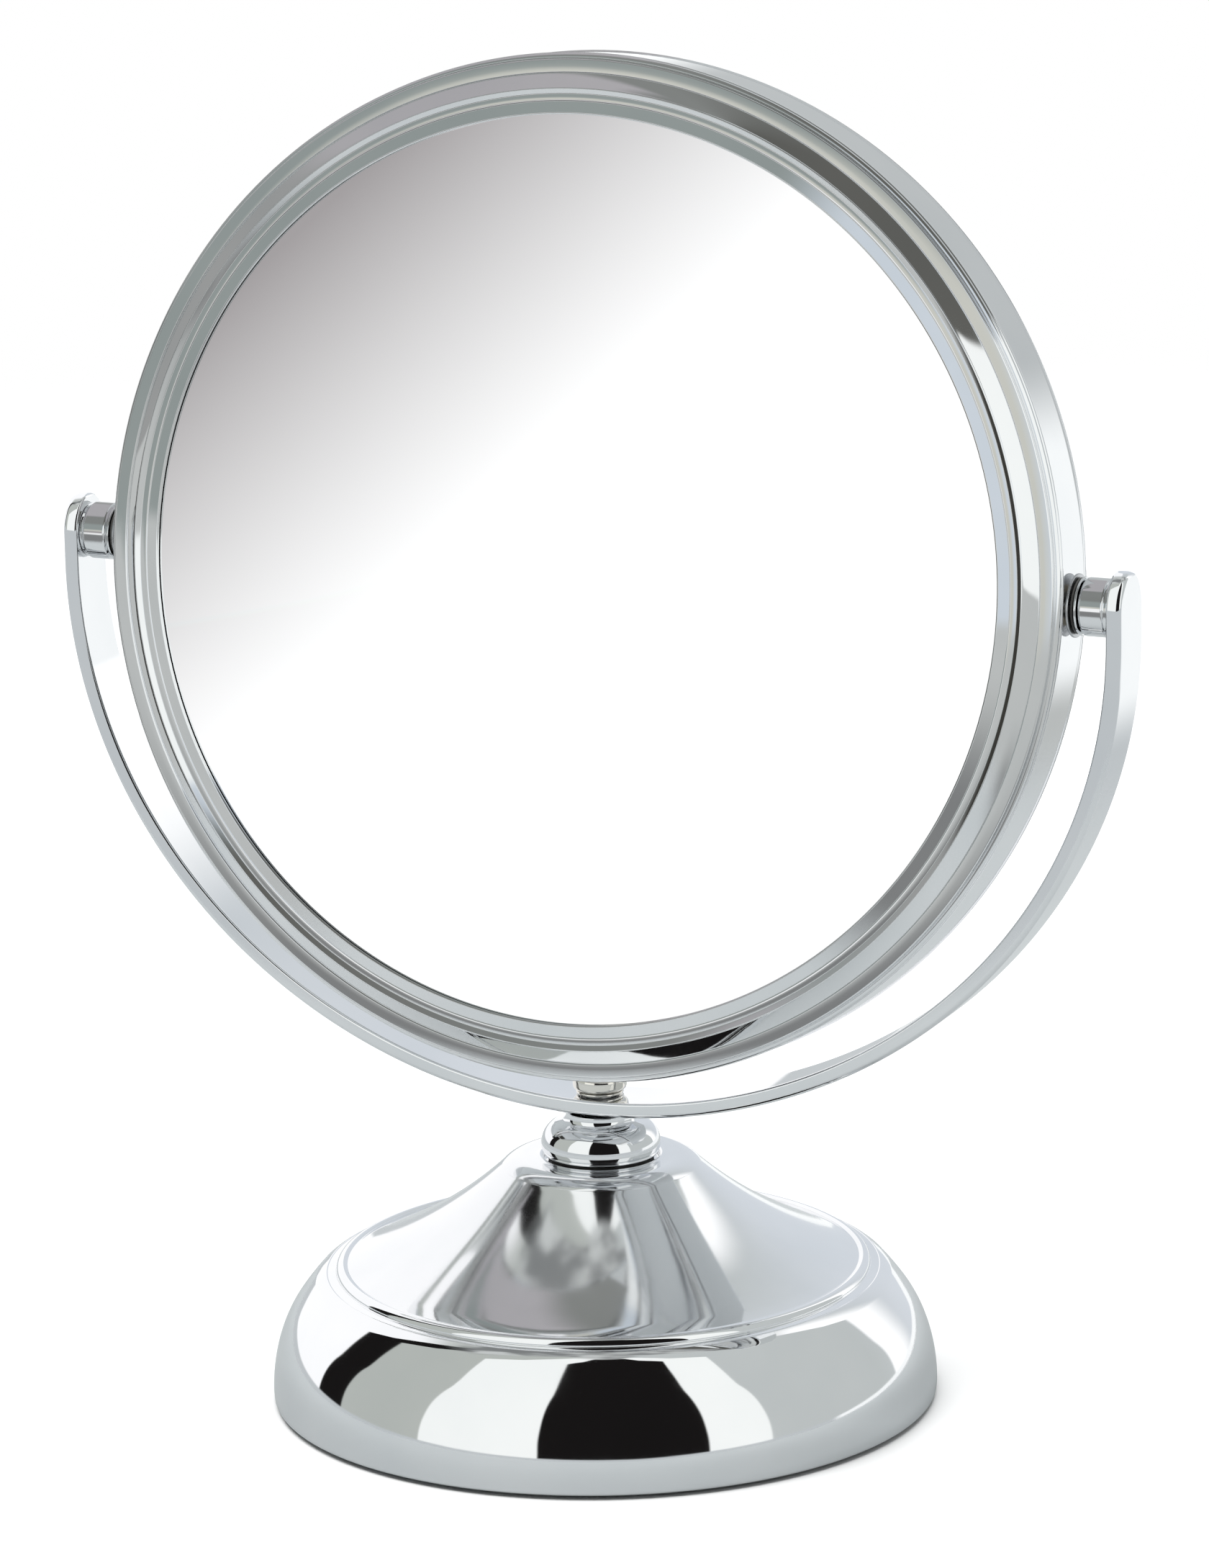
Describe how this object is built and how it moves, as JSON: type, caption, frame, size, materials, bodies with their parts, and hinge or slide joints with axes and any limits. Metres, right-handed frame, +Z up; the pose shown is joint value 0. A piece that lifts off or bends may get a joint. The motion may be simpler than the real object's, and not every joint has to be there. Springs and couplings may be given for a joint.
{
  "type": "two-sided tabletop shaving mirror",
  "caption": "Round double-faced shaving mirror that tilts end over end in a U-shaped yoke and swivels on a weighted bell base.",
  "frame": {"origin": "middle of the base's footprint, on the surface it stands on", "axes": "+Z up; the mirror faces -Y at rest, tilted back 7 degrees; the pivot axis runs along X"},
  "size_m": [0.1898, 0.1122, 0.2277],
  "materials": {
    "chrome": "polished chrome plate",
    "warm_nickel": "polished, slightly warm nickel plate",
    "silvered_glass": "silvered glass, clear and smooth",
    "zinc_steel": "zinc-plated steel",
    "brass": "turned brass",
    "cast_iron": "sand-cast, painted dark",
    "black_nylon": "moulded nylon",
    "grey_carrier": "moulded plastic",
    "grey_foam": "closed-cell foam",
    "foam_rubber_pad": "thin non-slip foam rubber"
  },
  "bodies": {
    "base": {"base_shell": "chrome", "swivel_washer": "black_nylon", "tension_liner": "black_nylon", "base_weight": "cast_iron", "base_plate": "zinc_steel", "base_plate_screw_1": "zinc_steel", "base_plate_screw_2": "zinc_steel", "base_plate_screw_3": "zinc_steel", "base_pad": "foam_rubber_pad"},
    "yoke": {"yoke_arm": "chrome", "left_pivot_stud": "chrome", "right_pivot_stud": "chrome", "left_outer_washer": "chrome", "right_outer_washer": "chrome", "left_spring_washer": "zinc_steel", "right_spring_washer": "zinc_steel", "left_friction_washer": "black_nylon", "right_friction_washer": "black_nylon", "left_retaining_clip": "zinc_steel", "right_retaining_clip": "zinc_steel", "collar": "chrome", "cap_nut": "warm_nickel", "cap_nut_washer": "warm_nickel", "stem_rod": "zinc_steel", "tension_washer": "zinc_steel", "lock_nut": "zinc_steel"},
    "mirror_head": {"frame_hoop": "chrome", "front_bezel": "chrome", "rear_bezel": "chrome", "front_mirror_glass": "silvered_glass", "rear_magnifying_glass": "silvered_glass", "front_backing_pad": "grey_foam", "rear_backing_ring": "grey_foam", "core_ring": "grey_carrier", "left_pivot_bush": "brass", "right_pivot_bush": "brass"}
  },
  "joints": [
    {"name": "yoke_swivel", "type": "hinge", "parent": "base", "child": "yoke", "pos_m": [0, 0, 0.0419], "axis": [0, 0, 1], "continuous": true},
    {"name": "mirror_tilt", "type": "hinge", "parent": "yoke", "child": "mirror_head", "pos_m": [0, 0, 0.14265], "axis": [1, 0, 0], "continuous": true}
  ]
}
